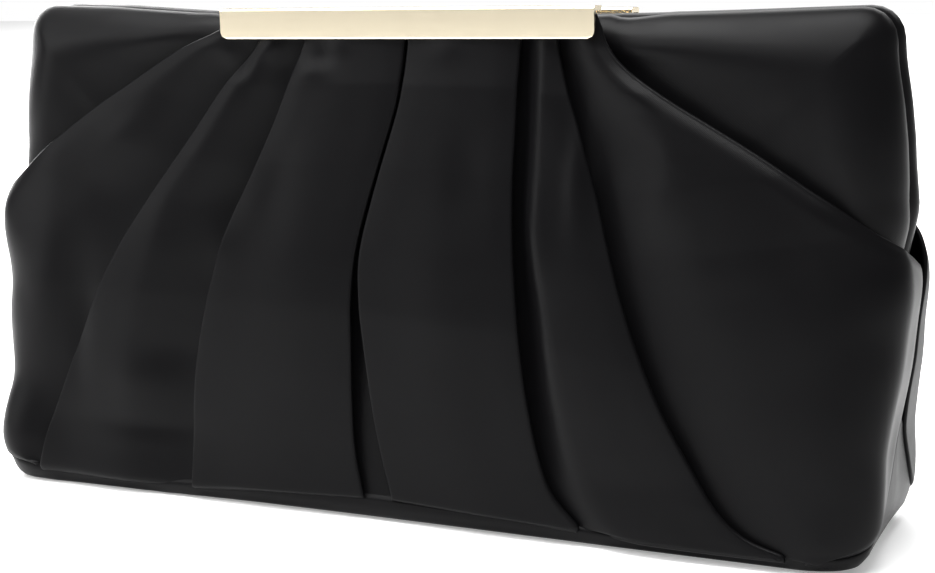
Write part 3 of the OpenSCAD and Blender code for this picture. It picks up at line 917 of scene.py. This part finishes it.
def make_bar(name, back):
    """A bar as a strip of metal folded over at the top, with rounded lower corners at its ends."""
    (x0, y0, z0), (x1, y1, z1) = BAR_LOW, BAR_HIGH
    profile = [(y1, z1 - 1.6), (y1, z1 - 0.35), (y1 - 0.3, z1 - 0.05), (y0 + 1.0, z1), (y0 + 0.35, z1 - 0.12),
               (y0, z1 - 0.6), (y0, z0 + 0.4), (y0 + 0.25, z0), (y0 + 0.8, z0), (y0 + 1.0, z0 + 0.3),
               (y0 + 1.0, z1 - 1.4), (y1 - 0.8, z1 - 1.4), (y1 - 0.8, z1 - 1.6)]
    stations = [x0, x0 + 0.15, x0 + 0.5] + list(np.linspace(x0 + 2, x1 - 2, 40)) + [x1 - 0.5, x1 - 0.15, x1]
    points = []
    for x in stations:
        for y, z in profile:
            edge = min(x - x0, x1 - x)
            up = 0.0
            if z < z0 + BAR_ROUND and edge < BAR_ROUND:
                up = BAR_ROUND - math.sqrt(max(0, BAR_ROUND ** 2 - (BAR_ROUND - edge) ** 2))
            points.append((x, y, max(z, z0 + up)))
    points = np.array(points)
    if back:
        points = turned(points) - np.array([0, 0, BACK_BAR_DROP])
    n = len(profile)
    faces = grid_faces(len(stations), n, closed=True)
    faces += [tuple(range(n))[::-1], tuple(range(len(points) - n, len(points)))]
    piece = new_piece(name, points, faces, GOLD)
    piece.data.polygons.foreach_set("use_smooth", np.zeros(len(piece.data.polygons), bool))
    return piece


# ---------------------------------------------------------------- stage
ROOM_LIGHT = 0.16     # strength of the world for everything but the camera, which sees it white
FLOOR_GLOW = 0.30     # the floor's own glow, which keeps it white in the picture
FLOOR_REACH, FLOOR_Z = 3000, -0.4


def make_stage():
    """The white floor and the world."""
    corners = [(x * FLOOR_REACH, y * FLOOR_REACH, FLOOR_Z) for x, y in ((-1, -1), (1, -1), (1, 1), (-1, 1))]
    paint = Recipe("floor_white")
    paint.mix(paint.noise(3, 2), (0.90, 0.90, 0.90), (0.94, 0.94, 0.94))
    paint.set(Roughness=0.85, Emission_Color=(1, 1, 1, 1), Emission_Strength=FLOOR_GLOW)
    new_piece("floor", corners, [(0, 1, 2, 3)], paint.material)
    world = bpy.data.worlds.new("studio")
    world.use_nodes = True
    nodes, links = world.node_tree.nodes, world.node_tree.links
    background = nodes["Background"]
    background.inputs[0].default_value = (1, 1, 1, 1)
    path = nodes.new("ShaderNodeLightPath")
    level = nodes.new("ShaderNodeMapRange")
    level.inputs["To Min"].default_value, level.inputs["To Max"].default_value = ROOM_LIGHT, 1.0
    links.new(path.outputs["Is Camera Ray"], level.inputs["Value"])
    links.new(level.outputs[0], background.inputs[1])
    scene.world = world
    scene.view_settings.view_transform = "Standard"


def area_light(name, azimuth, height, away, size, power, aim=(0, 0, 0.07)):
    """A soft box at an angle round Z from the front, counted towards +X, aimed at the purse."""
    data = bpy.data.lights.new(name, "AREA")
    data.shape = "RECTANGLE"
    data.size, data.size_y = size
    data.energy = power
    light = bpy.data.objects.new(name, data)
    scene.collection.objects.link(light)
    round_z = math.radians(azimuth)
    light.location = (away * math.sin(round_z), -away * math.cos(round_z), height)
    light.rotation_euler = (Vector(aim) - light.location).to_track_quat("-Z", "Y").to_euler()


make_camera()
make_stage()
area_light("left_box", -124, 0.50, 1.25, (0.7, 0.8), 20)
area_light("front_box", -54, 0.55, 1.20, (0.7, 0.8), 6)
area_light("top_box", -25, 1.25, 0.25, (1.2, 0.5), 30)
area_light("rear_box", 190, 0.90, 1.20, (1.2, 0.7), 7)
area_light("floor_box", 180, 1.60, 2.10, (3.2, 2.0), 90, aim=(0, 2.6, 0))
area_light("near_box", -38, 1.10, 1.15, (1.2, 0.8), 12, aim=(-0.55, -0.85, 0))


def join(piece):
    """Bakes a piece's placement into its mesh."""
    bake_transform(piece)


def replaces(piece, side, names, *more):
    """Hides one side's CAD nodes, and more with full names, that a piece stands in for; piece is not used."""
    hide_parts(*[f"{side}_{n}" for n in names.split()], *more)


for side, back in (("front", False), ("back", True)):
    half = side + "_half"
    pad = make_pad(side + "_cover", back)
    replaces(pad, side, "panel_cover rim_cover wall_cover flex_band panel_foam wall_foam panel_board")
    drape = make_drape(side + "_pleats", back)
    wraps = [] if back else ["left_side_wrap", "right_side_wrap"]
    replaces(drape, side, "pleats_upper pleats_lower", *wraps)
    lining = make_lining(side + "_lining", back)
    replaces(lining, side, "panel_lining wall_lining")
    for piece in (pad, drape, lining):
        join(piece)
    strip = make_frame(side + "_frame_strip", back)
    replaces(strip, side, "frame")
    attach(strip, half)
    bar = make_bar(side + "_bar_shell", back)
    replaces(bar, side, "bar bar_rivets")
    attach(bar, half)

for side, sign in (("left", -1), ("right", 1)):
    seam = make_side_seam(side + "_seam", sign)
    replaces(seam, side, "gusset_cover side_flex")
    inside = make_side_lining(side + "_inside", sign)
    replaces(inside, side, "gusset_lining")
    for piece in (seam, inside):
        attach(piece, "pouch")
    for half, way in (("front", -1), ("back", 1)):
        leaf = make_bellows_leaf(f"{side}_{half}_bellows", sign, way)
        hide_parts(side + "_bellows")
        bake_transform(leaf)

underside = make_underside()
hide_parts("base_cover", "base_board")
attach(underside, "pouch")
tray = make_base_lining()
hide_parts("base_lining")
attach(tray, "pouch")
pocket = make_pocket()
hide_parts("slip_pocket")
join(pocket)
pocket_seam = stitches("pocket_stitches", pocket_path(1.2), (0, -1, 0), 2.6, THREAD)
join(pocket_seam)

FINISH = {"frame_steel": STEEL, "magnet": NICKEL, "bar_metal": GOLD, "lining": LINING, "satin": SATIN,
          "padding": FOAM, "board": BOARD}
for part in frame["record"]["subparts"]:
    for slot in frame["nodes"][part["node"]].material_slots:
        slot.material = FINISH[part["material_slot"]]
